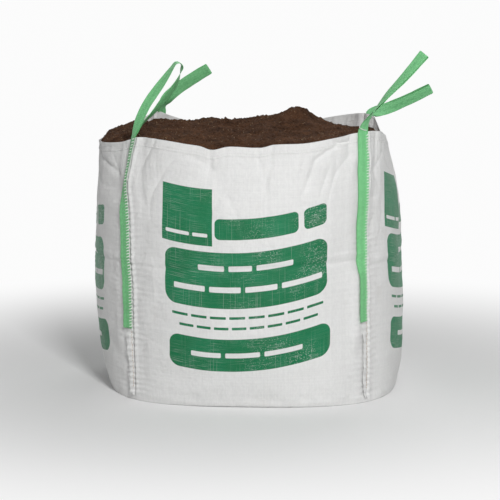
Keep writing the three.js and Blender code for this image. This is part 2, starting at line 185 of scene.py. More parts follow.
def skin(deg, share, out=0.0):
    """Point of the skin at a plan angle and a share of the rim's height, moved outwards. The
    belly is twisted a little, the front left seam bows to the left below the rim, and the
    front right one lies further round."""
    deg, share, out = np.broadcast_arrays(deg, share, out)
    sway = np.sin(np.pi * share)
    bow = bell(SEAM_BOW, share) - RIM_SHIFT * step(*RIM_SHIFT_FROM, share)
    bow = bow - LOW_SHIFT * step(*LOW_SHIFT_FROM, share)
    at_left, at_right = [bump(CORNERS[name], SHIFT_SPREAD, np.mod(deg, 360)) for name in FRONT]
    turned = deg + BELLY_TWIST * sway - turn_for(bow) * at_left + turn_for(RIGHT_SHIFT) * at_right
    r = plan_radius(turned, share) + out
    x = r * np.cos(np.radians(turned)) - BELLY_LEAN * sway
    return np.stack([x, r * np.sin(np.radians(turned)), share * rim_height(deg)], axis=-1)


def from_seam(deg):
    """Metres round the bag from the nearest corner seam, positive anticlockwise."""
    return np.radians(np.mod(deg, 90) - 45) * BELLY["corner"]


print("front middle at half height:", skin(270.0, 0.5).round(3))

# %% [markdown]
# ## Folds and creases
# Stiff tape cloth doesn't drape in round folds. Over compost it shows soft lumps, long
# straight creases with sharp bottoms, and puckers beside every seam. They are added as one
# height over the skin, so that panels, seams and webbing all follow the same relief.


# %% Random ripples and straight creases
WAVE_SPAN = (0.6, 1.6)
CREASE_ENDS, CREASE_FADE = (0.02, 0.98), 0.6
FAR = 9.0


def ripples(point, size, seed, waves=22):
    """Random relief between about -1 and 1: plane waves in seeded directions, with lengths
    from 0.6 to 1.6 times the size, added up."""
    rng = np.random.default_rng(seed)
    total = np.zeros(point.shape[:-1])
    for _ in range(waves):
        way = rng.normal(size=3)
        way *= 2 * np.pi / (size * rng.uniform(*WAVE_SPAN) * np.linalg.norm(way))
        total += np.sin(point @ way + rng.uniform(0, 2 * np.pi))
    return total / math.sqrt(2 * waves)


def rippled(kind, point):
    """Ripples given as (height, size, seed), with the number of waves where it isn't 22."""
    height, *settings = kind
    return height * ripples(point, *settings)


def crease(across, up, points, depth, width):
    """A crease along a line of (across, up) points: depth * exp(-distance / width), which
    has a sharp bottom, fading towards both ends."""
    points = np.array(points, float)
    ends = np.linalg.norm(np.diff(points, axis=0), axis=1)
    whole, done = ends.sum(), 0.0
    near = np.full(np.shape(across), FAR)
    along = np.zeros(np.shape(across))
    for a, b, length in zip(points[:-1], points[1:], ends):
        way = (b - a) / length
        s = np.clip((across - a[0]) * way[0] + (up - a[1]) * way[1], 0, length)
        away = np.hypot(across - a[0] - s * way[0], up - a[1] - s * way[1])
        along = np.where(away < near, (done + s) / whole, along)
        near = np.minimum(near, away)
        done += length
    fade = np.clip(np.sin(np.pi * np.clip(along, *CREASE_ENDS)), 0, 1) ** CREASE_FADE
    return depth * fade * np.exp(-near / width)

# %% [markdown]
# A crease is its line as (across, up) points on its side, its depth and its width.

# %% Creases of each side
FRONT_CREASES = [
    ([(-0.328, 0.969), (-0.350, 0.933), (-0.374, 0.897), (-0.393, 0.854)], -0.0130, 0.018),
    ([(0.342, 0.955), (0.244, 0.896), (0.226, 0.838), (0.190, 0.750)], -0.0110, 0.009),
    ([(0.375, 0.957), (0.345, 0.950), (0.305, 0.956)], -0.0120, 0.006),
    ([(0.300, 0.880), (0.262, 0.770)], -0.0060, 0.008),
    ([(0.090, 0.970), (0.084, 0.880), (0.060, 0.780)], -0.0085, 0.006),
    ([(-0.129, 0.945), (-0.131, 0.880), (-0.140, 0.800)], -0.0065, 0.009),
    ([(-0.129, 0.930), (-0.100, 0.890)], -0.0030, 0.007),
    ([(-0.335, 0.930), (-0.330, 0.790)], -0.0030, 0.005),
    ([(-0.320, 0.900), (-0.316, 0.800)], -0.0025, 0.004),
    ([(0.395, 0.930), (0.330, 0.860), (0.300, 0.800)], -0.0035, 0.007),
    ([(-0.395, 0.400), (-0.320, 0.372)], -0.0025, 0.005),
    ([(-0.395, 0.330), (-0.300, 0.318)], -0.0025, 0.005),
    ([(-0.395, 0.250), (-0.330, 0.228)], -0.0022, 0.005),
]
LEFT_CREASES = [
    ([(0.120, 0.895), (0.250, 0.862), (0.360, 0.815)], -0.0120, 0.010),
    ([(0.050, 0.905), (0.180, 0.912), (0.330, 0.918)], -0.0080, 0.006),
    ([(0.300, 0.900), (0.360, 0.780)], -0.0045, 0.008),
]
RIGHT_CREASES = [
    ([(-0.300, 0.930), (-0.240, 0.850), (-0.180, 0.820)], -0.0065, 0.010),
    ([(-0.380, 0.860), (-0.340, 0.760)], -0.0040, 0.008),
]
BACK_CREASES = [
    ([(-0.200, 0.930), (-0.120, 0.840), (-0.100, 0.760)], -0.0060, 0.010),
    ([(0.280, 0.920), (0.200, 0.850)], -0.0050, 0.009),
]
OWN_CREASES = {270: FRONT_CREASES, 180: LEFT_CREASES, 0: RIGHT_CREASES, 90: BACK_CREASES}
SMALL_CREASES, SMALL_SEED = 30, 40
SMALL_ACROSS, SMALL_LOW, SMALL_HIGH = 0.42, 0.10, 0.82
SMALL_HALF = (0.02, 0.085)
SMALL_DEPTH, SMALL_WIDTH = (0.0006, 0.0020), (0.003, 0.007)


def small_creases(seed):
    """Seeded short creases in all directions, more of them high up than low."""
    rng = np.random.default_rng(seed)
    made = []
    for _ in range(SMALL_CREASES):
        across = rng.uniform(-SMALL_ACROSS, SMALL_ACROSS)
        middle = np.array([across, SMALL_LOW + SMALL_HIGH * rng.uniform() ** 0.7])
        angle, half = rng.uniform(0, np.pi), rng.uniform(*SMALL_HALF)
        way = half * np.array([np.cos(angle), np.sin(angle)])
        depth = rng.choice([-1, 1]) * rng.uniform(*SMALL_DEPTH)
        made.append(([middle - way, middle + way], depth, rng.uniform(*SMALL_WIDTH)))
    return made


for number, middle in enumerate(OWN_CREASES):
    OWN_CREASES[middle] = OWN_CREASES[middle] + small_creases(SMALL_SEED + number)
print("creases on the front:", len(OWN_CREASES[270]))

# %% [markdown]
# In the relief a bell is (height, place, width), a ripple is (height, size, seed), and a pair
# of places is where a step starts and ends.

# %% Relief over the skin
UPPER_PART = (0.62, 0.90)
WANDER, SWAY = (0.020, 0.30, 21), (2.0, 0.12, 22)
RIDGE, VALLEY = (0.0065, 0.012, 0.008), (-0.0060, 0.048, 0.019)
FAR_RIDGE, UPRIGHT = (0.0050, -0.066, 0.018), (0.0005, 0.080, 0.030)
UPRIGHT_PITCH, LEVEL_PITCH = 0.023, 0.021
LEVEL, LEVEL_REACH = 0.0019, 0.060
GROOVE, GROOVE_WIDTH = -0.0020, 0.003
HEM_FOLD, HEM_EDGE = 0.0018, (0.0335, 0.0315)
HEM_SEWN_AT = 0.0265
HEM_SUNK = (-0.0013, HEM_SEWN_AT, 0.0022)
PUCKER, PUCKER_AT = (0.0011, 0.022, 31), (0.032, 0.012)
RIM_WAVE, RIM_WAVE_REACH = (0.0045, 0.19, 32), 0.07
LARGE_LUMPS, SMALL_LUMPS = (0.0036, 0.32, 11), (0.0018, 0.11, 12)
FOLDS, FOLD_DEPTH, FOLD_WIDTH, FOLDED_FROM = (1, 0.26, 14, 7), -0.0042, 0.09, (0.45, 0.80)
DENT, DENT_NEAR, DENT_FAR, DENT_ABOVE = 0.021, (-0.002, -0.046), (-0.26, -0.06), (0.68, 0.80)
TURNED_IN, IN_ABOVE = 0.012, (0.46, 0.54)
TURNED_OUT, OUT_BELOW, OUT_ABOVE = (0.009, -0.052, 0.026), (0.52, 0.45), (0.16, 0.26)
PACKED_AT, PACKED_WAVE, PACKED_TURN = 0.514, 0.012, 4
PACKED_RIDGE, PACKED_GROOVE, PACKED_WIDTH = (0.0020, 0.018, 0.013), 0.0028, 0.007
FOOT_LUMPS, FOOT_REACH, FOOT_FLAT = (0.0045, 0.075, 13), 0.05, (0.002, 0.035)
CREASED_TO, CREASED_FADE = 0.46, 0.03


def side_place(deg, share):
    """The side's middle angle, and the place on it: across from its middle and up."""
    point = skin(deg, share)
    deg = np.asarray(deg, float)
    side = np.mod(np.round(deg / 90) * 90, 360) + 0 * point[..., 2]
    turn = np.radians(side - 270)
    across = point[..., 0] * np.cos(turn) + point[..., 1] * np.sin(turn)
    return point, side, across, point[..., 2]


def seam_relief(seam, up, point):
    """Beside each seam the cloth stands in a ridge, then sinks in a valley, and small
    wrinkles run along it above and across it below."""
    high = 0.30 + 0.70 * step(*UPPER_PART, up)
    wander = rippled(WANDER, point * (1, 1, 0.8))
    ridge = bell(RIDGE, seam) * (0.6 + 0.4 * high)
    valley = bell(VALLEY, seam + wander) * high
    beyond = bell(FAR_RIDGE, seam + wander) * high
    upright = np.sin(2 * np.pi * (seam + 2 * wander) / UPRIGHT_PITCH) * bell(UPRIGHT, seam) * high
    level = np.sin(2 * np.pi * up / LEVEL_PITCH + rippled(SWAY, point))
    level = LEVEL * level * np.exp(-np.abs(seam) / LEVEL_REACH) * (1.25 - high)
    groove = GROOVE * np.exp(-np.abs(seam) / GROOVE_WIDTH)
    return ridge + valley + beyond + upright + level + groove


def hem_relief(down, point):
    """The folded hem stands proud, with a sunk line of stitches that puckers the cloth."""
    fold = HEM_FOLD * step(*HEM_EDGE, down)
    pucker = rippled(PUCKER, point) * bump(*PUCKER_AT, down)
    wave = rippled(RIM_WAVE, point * (1, 1, 0.4)) * np.exp(-down / RIM_WAVE_REACH)
    return fold + bell(HEM_SUNK, down) + pucker + wave


def front_dents(deg, up):
    """Clockwise of the front left seam the cloth is sunk near the top. Clockwise of the
    front right one it is turned in above the middle, and out below it."""
    beside = from_seam(deg)
    sunk = step(*DENT_NEAR, beside) * step(*DENT_FAR, beside)
    turned_in = TURNED_IN * sunk * step(*IN_ABOVE, up)
    turned_out = bell(TURNED_OUT, beside) * step(*OUT_BELOW, up) * step(*OUT_ABOVE, up)
    at_left, at_right = [np.abs(np.mod(deg, 360) - CORNERS[name]) < 45 for name in FRONT]
    return (turned_out - turned_in) * at_right - DENT * sunk * step(*DENT_ABOVE, up) * at_left


def packed_line(side, across, up):
    """The level crease left by the folded bag: a groove, with a ridge above it."""
    above = up - PACKED_AT - PACKED_WAVE * np.sin(across * PACKED_TURN + side)
    return bell(PACKED_RIDGE, above) - PACKED_GROOVE * np.exp(-np.abs(above) / PACKED_WIDTH)


def relief(deg, share):
    """Height of the cloth over the skin, the sum of all lumps, folds and creases."""
    point, side, across, up = side_place(deg, share)
    folds = FOLD_DEPTH * np.exp(-np.abs(rippled(FOLDS, point * (1.3, 1.3, 0.7))) / FOLD_WIDTH)
    total = rippled(LARGE_LUMPS, point) + rippled(SMALL_LUMPS, point)
    total = total + folds * step(*FOLDED_FROM, up) + seam_relief(from_seam(deg), up, point)
    total = total + hem_relief(rim_height(deg) - up, point) + front_dents(deg, up)
    total = total + packed_line(side, across, up)
    total = total + rippled(FOOT_LUMPS, point) * np.exp(-up / FOOT_REACH)
    for middle, own in OWN_CREASES.items():
        here = np.abs(side - middle) < 1
        if here.any():
            cut = np.sum([crease(across[here], up[here], *line) for line in own], axis=0)
            total[here] += cut * step(0.0, CREASED_FADE, CREASED_TO - np.abs(across[here]))
    return total * step(*FOOT_FLAT, up)


front = relief(np.linspace(226, 314, 400)[None, :], np.linspace(0.05, 1, 300)[:, None])
print("relief runs from", front.min().round(4), "to", front.max().round(4), "m")

# %% [markdown]
# ## From numbers to meshes
# Every surface below is a grid of points, rows upwards and columns to the right as seen from
# outside, so one function turns them all into meshes. It also lays the UV maps that the
# weave and the print follow.


# %% Mesh from a grid
def finished(name, mesh, smooth=True):
    """Link a mesh as an object and shade it smooth or flat."""
    mesh.polygons.foreach_set("use_smooth", np.full(len(mesh.polygons), smooth))
    mesh.update()
    piece = bpy.data.objects.new(name, mesh)
    bpy.context.scene.collection.objects.link(piece)
    return piece


def quads(index):
    """Corners of the quads between the neighbours of a grid of vertex numbers."""
    low, high = index[:-1], index[1:]
    return np.stack([low[:, :-1], low[:, 1:], high[:, 1:], high[:, :-1]], axis=-1).reshape(-1, 4)


def grid_piece(name, points, maps=None, wrap=False, ends=()):
    """Quads between neighbouring points of a grid. With wrap, the last column joins the
    first. A fan to a middle point closes the rows named in ends, 0 for the first and -1 for
    the last. maps gives, for each UV map, the place of each grid point in metres."""
    rows, columns = points.shape[:2]
    index = np.arange(rows * columns).reshape(rows, columns)
    if wrap:
        index = np.concatenate([index, index[:, :1]], axis=1)
    corner = np.arange(index.size).reshape(index.shape)
    vertices, faces = points.reshape(-1, 3), quads(index).tolist()
    for tip, row in enumerate(ends, rows * columns):
        vertices = np.vstack([vertices, points[row].mean(axis=0)])
        pair = np.stack([index[row, :-1], index[row, 1:]], axis=-1)[:, ::1 if row else -1]
        faces += np.column_stack([pair, np.full(len(pair), tip)]).tolist()
    mesh = bpy.data.meshes.new(name)
    mesh.from_pydata(vertices.tolist(), [], faces)
    for label, places in (maps or {}).items():
        layer = mesh.uv_layers.new(name=label)
        at = places.reshape(-1, 2)[quads(corner).ravel()].ravel()
        layer.data.foreach_set("uv", np.pad(at, (0, 2 * len(mesh.loops) - len(at))))
    return finished(name, mesh)


def thicken(piece, thickness, offset=-1):
    """Give a sheet its thickness, inwards unless an offset says otherwise."""
    made = piece.modifiers.new("thickness", "SOLIDIFY")
    made.thickness, made.offset = thickness, offset


def dress(piece, paint):
    """Paint a piece and let it ride the bag's body."""
    piece.data.materials.append(paint)
    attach(piece, "root")
    return piece


def running_length(line):
    """Running length along a line of points."""
    return np.concatenate([[0.0], np.cumsum(np.linalg.norm(np.diff(line, axis=0), axis=-1))])

# %% [markdown]
# ## Sockets that do sums
# A shader is sums on sockets. This class lets them be written as sums: an expression adds
# the Math nodes it needs. Any other node comes from one method, which sets its settings
# first and then its sockets.


# %% Shader tools
def by_math(operation, turned=False):
    """A method that adds a Math node for two values, turned round where asked."""
    def method(self, other):
        pair = (other, self) if turned else (self, other)
        return self.finish.math(operation, *pair)
    return method


class Signal:
    """A node's output, on which + - * / ** work, in either order with a number."""

    def __init__(self, finish, socket):
        self.finish, self.socket = finish, socket

    __add__ = __radd__ = by_math("ADD")
    __sub__, __rsub__ = by_math("SUBTRACT"), by_math("SUBTRACT", turned=True)
    __mul__ = __rmul__ = by_math("MULTIPLY")
    __truediv__, __pow__ = by_math("DIVIDE"), by_math("POWER")


class Finish:
    """The node tree of one material."""

    def __init__(self, name, owner=None):
        self.material = owner or bpy.data.materials.new(name)
        self.material.use_nodes = True
        self.tree = self.material.node_tree
        self.tree.nodes.clear()

    def node(self, kind, settings=None, inputs=None, output=0):
        """One node: its settings, then the values or links of its sockets."""
        made = self.tree.nodes.new("ShaderNode" + kind)
        for key, value in (settings or {}).items():
            setattr(made, key, value)
        for key, value in (inputs or {}).items():
            if isinstance(value, Signal):
                self.tree.links.new(value.socket, made.inputs[key])
            else:
                made.inputs[key].default_value = value
        return Signal(self, made.outputs[output] if len(made.outputs) else None)

    def math(self, operation, *values):
        return self.node("Math", {"operation": operation}, dict(enumerate(values)))

    def mix(self, share, low, high):
        """Blend two colours."""
        return self.node("Mix", {"data_type": "RGBA"}, {0: share, 6: low, 7: high}, output=2)

    def rise(self, low, high, value):
        """Soft step from 0 at low to 1 at high."""
        settings = {"interpolation_type": "SMOOTHSTEP"}
        return self.node("MapRange", settings, {"Value": value, "From Min": low, "From Max": high})

    def ridges(self, value):
        """|sin(pi value)|, a row of rounded ridges one apart."""
        return self.math("ABSOLUTE", self.math("SINE", value * math.pi))

    def by_number(self, value):
        """A random tone for the value, the same each time."""
        return self.node("TexWhiteNoise", {"noise_dimensions": "1D"}, {"W": value})

    def seen(self):
        """1 for a ray from the camera, a gloss or a see-through surface, otherwise 0."""
        camera_ray, glossy, through = [self.node("LightPath", output=k) for k in (0, 3, 6)]
        return self.math("MAXIMUM", self.math("MAXIMUM", camera_ray, glossy), through)

    def place(self, label):
        """Across and up on a UV map, in metres."""
        at = self.node("UVMap", {"uv_map": label})
        return [self.node("SeparateXYZ", inputs={0: at}, output=k) for k in (0, 1)]

    def noise(self, scale, where=None, detail=3.0, rough=0.55, stretch=(1, 1, 1)):
        """Cloudy noise from 0 to 1 on the object's own coordinates, or on a UV map."""
        if where is None:
            at = self.node("TexCoord", output=3)
        else:
            at = self.node("UVMap", {"uv_map": where})
        at = self.node("Mapping", inputs={"Vector": at, "Scale": stretch})
        return self.node("TexNoise", inputs={
            "Vector": at, "Scale": scale, "Detail": detail, "Roughness": rough})

    def surface(self, colour, height=None, depth=0.001, **sockets):
        """Principled shader with an optional bump, depth in metres."""
        inputs = {"Base Color": colour}
        if height is not None:
            inputs["Normal"] = self.node("Bump", inputs={
                "Strength": 1.0, "Distance": depth, "Height": height})
        for key, value in sockets.items():
            inputs[key.replace("_", " ")] = value
        shader = self.node("BsdfPrincipled", inputs=inputs)
        self.node("OutputMaterial", inputs={"Surface": shader})
        return self.material

# %% [markdown]
# ## Woven tape cloth
# Bulk bags are woven from flat plastic tapes about 3 mm wide, one over and one under. Each
# tape is a little brighter or duller than the next, the raised tapes catch the light through
# the bump, and the grooves between them are darkened with painted shade.
# The print sits on top of the tapes, so the ink is thin in the grooves between them.

# %% Weave of the cloth
TAPE = 0.0030
WHITE, GREY = (0.80, 0.80, 0.79, 1), (0.40, 0.40, 0.41, 1)
DUST = (0.38, 0.29, 0.21, 1)
INK = (0.0, 0.150, 0.052, 1)
WORN_INK = (0.006, 0.190, 0.078, 1)


def weave(finish):
    """Height of the tapes, from 0 in a groove to 1 on a crown, and the tone of each tape.
    A tape is |sin| across itself, and whole tapes count odd or even to go over or under."""
    across, up = [value / TAPE for value in finish.place("weave")]
    number = [finish.math("FLOOR", value) for value in (across, up)]
    over = finish.math("MODULO", number[0] + number[1], 2.0)
    crown = [finish.ridges(value) ** 0.5 for value in (across, up)]
    height = over * crown[0] + (1 - over) * crown[1]
    tone = [finish.by_number(value) for value in number]
    return height, over * tone[0] + (1 - over) * tone[1]

# %% [markdown]
# ## The printed design
# Each side carries the same plain green design: a square, two bars, and two rounded fields
# with plain pale bars and dashes. A field is (left, right, low, high, corner radius) on the
# side's own UV map, and its edge is a distance formula, so it stays sharp from close by. A
# pale line is its height, its width and its bars, and a row of dashes is (left, right,
# height, pitch). Worn streaks, lines and tapes let the white cloth through.

# %% Fields of the print
PRINT_SLOPE = {"front": 0.066, "right": 0.0, "back": 0.066, "left": -0.08}
PRINT_SAG = 0.44
FIELDS = [
    (-0.306, -0.123, 0.591, 0.793, 0.001),
    (-0.114, 0.184, 0.616, 0.690, 0.018),
    (0.204, 0.286, 0.616, 0.690, 0.018),
    (-0.295, 0.286, 0.370, 0.570, 0.040),
    (-0.279, 0.297, 0.140, 0.259, 0.036),
]
PALE_LINES = [
    (0.513, 0.020, [(-0.175, -0.080), (-0.064, 0.020), (0.036, 0.165)]),
    (0.437, 0.020, [(-0.262, -0.150), (-0.134, -0.020), (-0.004, 0.110), (0.126, 0.268)]),
    (0.199, 0.018, [(-0.200, -0.092), (-0.076, 0.048), (0.064, 0.200)]),
    (0.628, 0.013, [(-0.292, -0.206), (-0.194, -0.140)]),
]
DASH_ROWS = [(-0.274, 0.278, 0.336, 0.069), (-0.248, 0.260, 0.298, 0.0635)]
DASH_HIGH, DASH_GAP, DASH_ROUND = 0.0095, 0.006, 0.002
PALE_ROUND = 0.004
SOFT_EDGE = 0.0007


def rounded_box(finish, across, up, box):
    """1 inside a rounded box: the distance outside its inner box, less the radius, is
    below zero."""
    left, right, low, high, radius = box
    over = []
    for value, a, b in ((across, left, right), (up, low, high)):
        away = finish.math("ABSOLUTE", value - (a + b) / 2) - ((b - a) / 2 - radius)
        over.append(finish.math("MAXIMUM", away, 0.0) ** 2)
    distance = finish.math("SQRT", over[0] + over[1]) - radius
    return finish.rise(SOFT_EDGE, -SOFT_EDGE, distance)


def dashes(finish, across, up, row):
    """A row of short bars: the same bar repeated with a modulo across the side."""
    left, right, middle, pitch = row
    local = finish.math("MODULO", across - left, pitch)
    low, high = middle - DASH_HIGH / 2, middle + DASH_HIGH / 2
    bar = rounded_box(finish, local, up, (DASH_GAP, pitch - DASH_GAP, low, high, DASH_ROUND))
    inside = finish.rise(left - 0.001, left + 0.001, across)
    inside = inside * finish.rise(right + 0.001, right - 0.001, across)
    return bar * inside


def design(finish, crown):
    """How much ink lies on the cloth, from 0 to 1."""
    across, up = finish.place("design")
    ink = 0.0
    for box in FIELDS:
        ink = finish.math("MAXIMUM", ink, rounded_box(finish, across, up, box))
    for middle, high, lengths in PALE_LINES:
        for left, right in lengths:
            bar = (left, right, middle - high / 2, middle + high / 2, PALE_ROUND)
            ink = ink * (1 - rounded_box(finish, across, up, bar))
    for row in DASH_ROWS:
        ink = finish.math("MAXIMUM", ink, dashes(finish, across, up, row))
    streaks = finish.noise(1.0, "design", detail=4.0, rough=0.6, stretch=(14, 420, 1))
    patches = finish.rise(0.42, 0.62, finish.noise(5.0, "design", detail=2.0))
    worn = finish.rise(0.50, 0.66, streaks) * (0.25 + 0.75 * patches)
    lines = finish.noise(1.0, "design", detail=2.0, rough=0.5, stretch=(260, 4, 1))
    lines = finish.rise(0.60, 0.70, lines)
    cells = [finish.math("FLOOR", value / TAPE) for value in (across, up)]
    cell = finish.node("CombineXYZ", inputs={0: cells[0], 1: cells[1]})
    cell = finish.node("TexWhiteNoise", {"noise_dimensions": "2D"}, {"Vector": cell})
    bare = finish.rise(0.86, 0.90, cell) * patches * finish.rise(-0.25, 0.15, across)
    thin = finish.rise(0.30, 0.0, crown)
    return ink * (1 - 0.20 * worn) * (1 - 0.12 * lines) * (1 - 0.28 * bare) * (1 - 0.14 * thin)


# %% Cloth finishes
def cloth_finish(name, printed):
    """White tape cloth, with the print on it where wanted."""
    finish = Finish(name)
    height, tone = weave(finish)
    cloudy = finish.noise(7.0, detail=4.0)
    fine = finish.noise(60.0)
    mottled = finish.rise(0.40, 0.62, finish.noise(120.0, rough=0.7, stretch=(1, 1, 0.45)))
    # shade: the tapes' own random tone and mottling, less a painted shade in the grooves between
    # tapes
    shade = 0.84 + 0.12 * tone + 0.075 * mottled - 0.07 * finish.rise(0.35, 0.0, height)
    colour = finish.mix(shade, GREY, WHITE)
    dust = finish.rise(0.60, 0.82, cloudy) * 0.10 + finish.rise(0.66, 0.78, fine) * 0.08
    colour = finish.mix(dust, colour, DUST)
    sheen = 0.42 + 0.16 * cloudy
    if printed:
        ink = design(finish, height)
        green = finish.mix(finish.rise(0.3, 0.75, cloudy), INK, WORN_INK)
        colour = finish.mix(ink, colour, green)
        sheen = sheen - 0.06 * ink
    crumple = 9.0 * finish.noise(16.0, rough=0.5) + 3.4 * finish.noise(70.0, rough=0.5)
    gloss = {"Roughness": sheen, "Specular_IOR_Level": 0.3}
    return finish.surface(colour, height + crumple, depth=0.00055, **gloss)


printed_cloth = cloth_finish("printed_tape_cloth", True)
plain_cloth = cloth_finish("plain_tape_cloth", False)
print("print finish has", len(printed_cloth.node_tree.nodes), "nodes")

# %% [markdown]
# ## Compost
# Compost is a heap of crumbs of many sizes. Modelling each crumb would take millions of
# faces. A crumbly surface carries the heap, and a few thousand low lumps and pale fibres
# scattered on it break its outline the way single crumbs do.

# %% [markdown]
# A mound is (x, y, height, spread) and a clod wave (height, length, direction, phase).

# %% Surface of the compost
SOIL_LEVEL = RIM_HEIGHT - 0.026
SOIL_ROUNDING = 14
SOIL_BELOW_RIM, SOIL_BELOW_CORNER = 0.009, 0.020
BARE_CORNER = (0.024, 52, 20)
MOUNDS = [
    (0.156, 0.060, 0.063, 0.084), (-0.100, 0.040, 0.028, 0.150), (-0.300, -0.060, -0.016, 0.110),
    (-0.475, 0.020, 0.022, 0.105), (0.440, 0.340, -0.056, 0.130)]
CLODS = [(0.0034, 0.152, 12, 40), (0.0032, 0.134, 76, 160), (0.0030, 0.168, 139, 290),
         (0.0026, 0.118, 103, 80), (0.0024, 0.184, 44, 200)]
LUMPS, GRAINS, CRUMB_SINK = (0.0052, 0.046, 52), (0.0034, 0.021, 53, 30), 0.003
SOIL_GAP, WALL_GAP = 0.0012, 0.014
SOIL_RINGS, EDGE_RINGS, SOIL_COLUMNS, WALL_ROWS = 92, 16, 480, 48
FOOT_SHARE, FOOT_HEIGHT, FOOT_INSETS = 0.02, 0.008, (0.50, 0.20, 0.04)


def soil_edge(deg):
    """Share of the height where the compost meets the cloth: lower where a corner is pulled
    up, and lowest at the back right one, which shows its inside."""
    pulled_up = np.sin(np.radians(2 * deg)) ** 4
    below = SOIL_BELOW_RIM + SOIL_BELOW_CORNER * pulled_up + bell(BARE_CORNER, np.mod(deg, 360))
    return (rim_height(deg) - below) / rim_height(deg)


def clod_height(x, y):
    """Waves of clods: height * sin(2 pi * distance along each wave's way / length)."""
    total = 0.0
    for height, length, towards, phase in CLODS:
        way = math.radians(towards)
        run = (x * math.cos(way) + y * math.sin(way)) / length
        total = total + height * np.sin(2 * np.pi * run + math.radians(phase))
    return total


def crumbly(point):
    """Relief of loose crumbs on the clods: lumps and crumbs of two smaller sizes."""
    flat = point * (1, 1, 0)
    return np.abs(rippled(LUMPS, flat)) + np.abs(rippled(GRAINS, flat)) - CRUMB_SINK


def soil_top(deg, ring):
    """From the edge at ring 1 the compost rounds up to its mounds: edge height plus
    (heap - edge height) * (1 - ring^SOIL_ROUNDING)."""
    share = soil_edge(deg)
    edge = skin(deg, share, relief(deg, share) - CLOTH - SOIL_GAP)
    point = edge * np.stack([ring, ring, np.ones_like(ring)], axis=-1)
    heap = SOIL_LEVEL + clod_height(point[..., 0], point[..., 1])
    for x, y, height, spread in MOUNDS:
        away = (point[..., 0] - x) ** 2 + (point[..., 1] - y) ** 2
        heap = heap + height * np.exp(-away / (2 * spread**2))
    rise = edge[..., 2] + (heap - edge[..., 2]) * (1 - ring**SOIL_ROUNDING)
    point[..., 2] = rise + crumbly(point) * step(1.0, 0.97, ring)
    return point


around = np.linspace(0, 360, SOIL_COLUMNS, endpoint=False)
rings = np.concatenate([np.linspace(1, 0.90, EDGE_RINGS), np.linspace(0.90, 0.006, SOIL_RINGS)[1:]])
top = soil_top(*np.meshgrid(around, rings))
share = np.linspace(FOOT_SHARE, 0.985, WALL_ROWS)[:, None] * soil_edge(around)[None, :]
deg = np.broadcast_to(around, share.shape)
wall = skin(deg, share, np.minimum(relief(deg, share), 0.0) - WALL_GAP)
foot = skin(around[None, :], FOOT_SHARE, -np.array(FOOT_INSETS)[:, None])
foot[..., 2] = FOOT_HEIGHT
soil = np.concatenate([foot, wall, top])
compost = grid_piece("compost_heap", soil, wrap=True, ends=(0, -1))
print("compost grid:", soil.shape[:2], "top at", round(float(top[..., 2].max()), 3))

# %% Loose crumbs and fibres
CRUMBS, CRUMB_LEAST, CRUMB_MORE = 5200, 0.0016, 0.0042
FIBRES, FIBRE_SIZE = 520, (0.0006, 0.0006, 0.0075)
SCATTERED_TO = 0.985
rng = np.random.default_rng(61)


def lump_shape():
    """Twelve corners and twenty faces of an icosahedron, with its faces turned outwards."""
    g = (1 + math.sqrt(5)) / 2
    flat = [(0, a, b * g) for a in (-1, 1) for b in (-1, 1)]
    corners = np.array([np.roll(p, k) for k in range(3) for p in flat], float) / math.hypot(1, g)
    far = np.linalg.norm(corners[:, None] - corners[None], axis=-1)
    near = far < 1.1
    faces = [(i, j, k) for i in range(12) for j in range(i + 1, 12) for k in range(j + 1, 12)
             if near[i, j] and near[j, k] and near[i, k]]
    out = [f if np.linalg.det(corners[list(f)]) > 0 else f[::-1] for f in faces]
    return corners, np.array(out)


def turned(count):
    """Random turns, as the orthogonal part of random 3 x 3 matrices."""
    return np.linalg.qr(rng.normal(size=(count, 3, 3)))[0]


def scattered(name, count, corners, faces, sizes, sink):
    """Copies of a small shape on the compost, each stretched, turned and a little sunk."""
    ring_at = np.sqrt(rng.uniform(0, SCATTERED_TO**2, count))
    place = soil_top(rng.uniform(0, 360, count), ring_at)
    place[:, 2] -= sink * sizes.min(axis=1)
    shape = corners[None] * sizes[:, None, :] * rng.uniform(0.75, 1.2, (count, len(corners), 1))
    points = np.einsum("nij,nkj->nki", turned(count), shape) + place[:, None, :]
    all_faces = (faces[None] + len(corners) * np.arange(count)[:, None, None]).reshape(-1, 3)
    mesh = bpy.data.meshes.new(name)
    mesh.from_pydata(points.reshape(-1, 3).tolist(), [], all_faces.tolist())
    return finished(name, mesh, smooth=False)


lump, lump_faces = lump_shape()
mostly_small = rng.uniform(0, 1, (CRUMBS, 1)) ** 3
crumb_size = CRUMB_LEAST + CRUMB_MORE * mostly_small * rng.uniform(0.7, 1.3, (CRUMBS, 3))
crumbs = scattered("compost_crumbs", CRUMBS, lump, lump_faces, crumb_size, 0.3)
fibre_size = np.array(FIBRE_SIZE) * rng.uniform(0.5, 1.5, (FIBRES, 3))
fibres = scattered("compost_fibres", FIBRES, lump, lump_faces, fibre_size, 0.0)
print("crumbs:", len(crumbs.data.polygons), "fibres:", len(fibres.data.polygons), "faces")

# %% [markdown]
# Moist compost is dark brown in damp patches and warm brown on its dry crumbs, and its pores,
# where the grain noise that also makes the bump is low, are painted near black as shade. Two
# sizes of noise give the patches and the grains, and a deep bump gives the grains their shade.


# %% Compost finishes
# The darkest compost colour is damp compost darkened to near black as painted shade for the pores.
DAMP_AND_PORE_SHADE, DRY, SPECKS = (0.020, 0.0085, 0.0042, 1), (0.145, 0.070, 0.037, 1), (0.24, 0.155, 0.095, 1)
BARK, STRAW = (0.10, 0.055, 0.03, 1), (0.46, 0.33, 0.20, 1)


